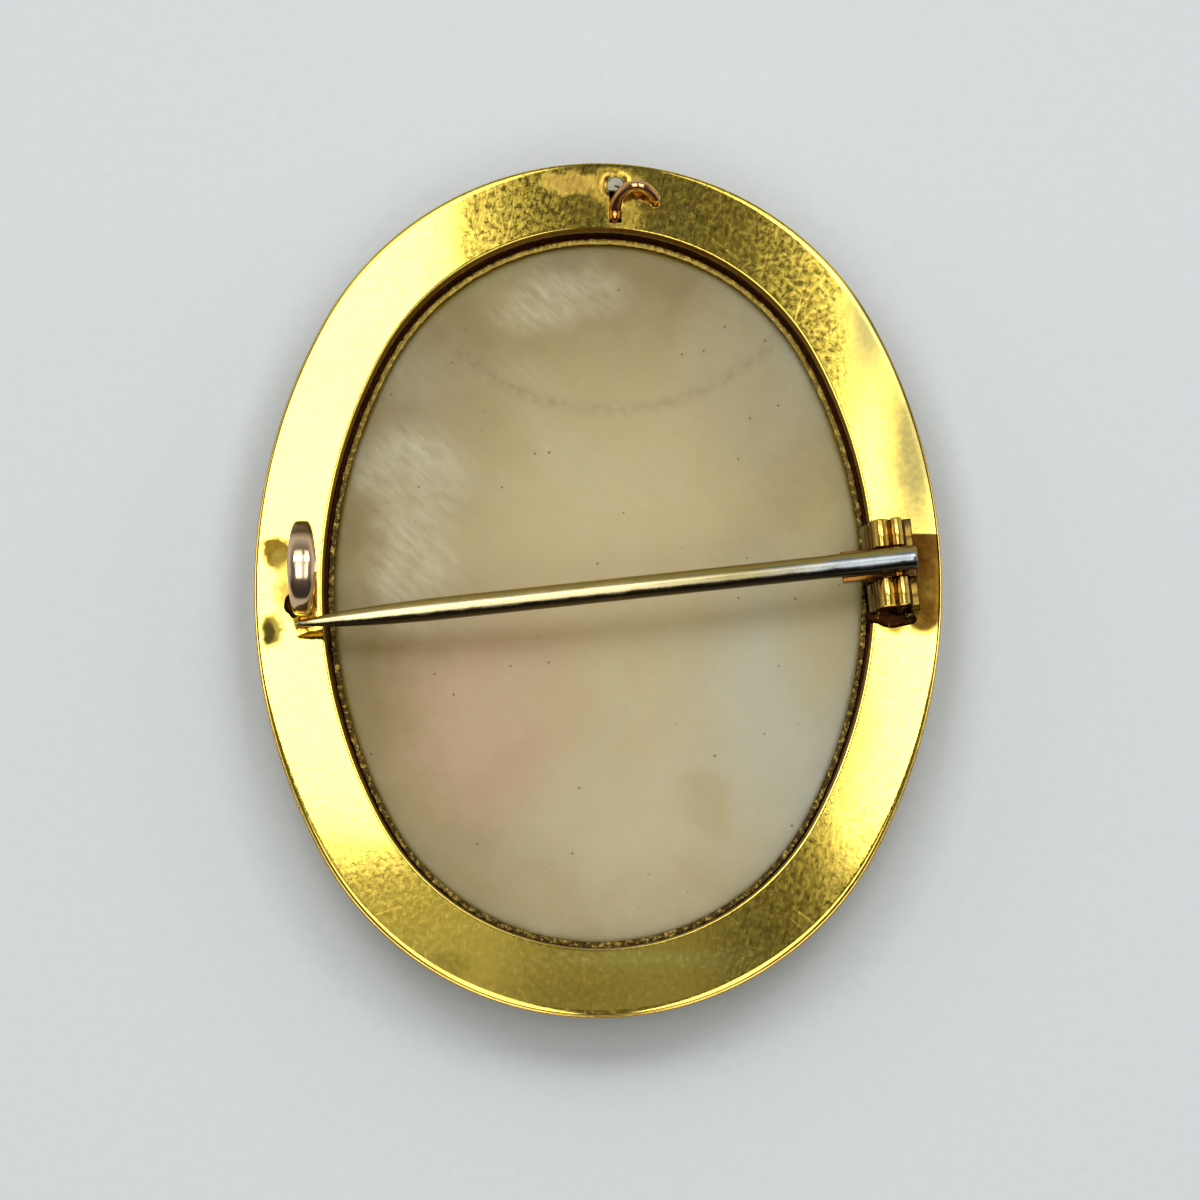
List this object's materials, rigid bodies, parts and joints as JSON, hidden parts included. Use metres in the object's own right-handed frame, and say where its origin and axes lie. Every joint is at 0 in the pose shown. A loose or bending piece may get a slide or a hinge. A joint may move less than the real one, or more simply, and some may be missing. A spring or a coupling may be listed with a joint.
{
  "type": "cameo brooch",
  "caption": "Oval shell cameo brooch in a hollow gold border, lying face down, with a hinged steel pin, a C catch and a small wire hook.",
  "frame": {"origin": "under the middle of the oval, level with the crest of the front border that it lies on", "axes": "+X along the pin from the catch to the hinge, +Y from the bottom of the oval to its top, +Z out of the back"},
  "size_m": [0.0364, 0.046, 0.011],
  "materials": {
    "yellow_gold": "worn polish with olive-brown tarnish",
    "rose_gold": "polished, slightly worn",
    "shell": "ground and softly polished shell, slightly translucent",
    "old_solder": "dull and scratched",
    "gilt_steel": "steel with worn gilding"
  },
  "bodies": {
    "brooch": {"mount": "yellow_gold", "cameo": "shell", "vent_plug": "old_solder", "wire_hook": "rose_gold", "c_catch": "rose_gold", "hinge_base": "yellow_gold", "hinge_rivet": "yellow_gold"},
    "pin": {"pin_tongue": "yellow_gold", "pin_stem": "gilt_steel"}
  },
  "joints": [
    {"name": "pin_hinge", "type": "hinge", "parent": "brooch", "child": "pin", "pos_m": [0.01585, 0.00099, 0.0073], "axis": [-0.1045, 0.9945, 0], "range_deg": [0, 94]}
  ]
}
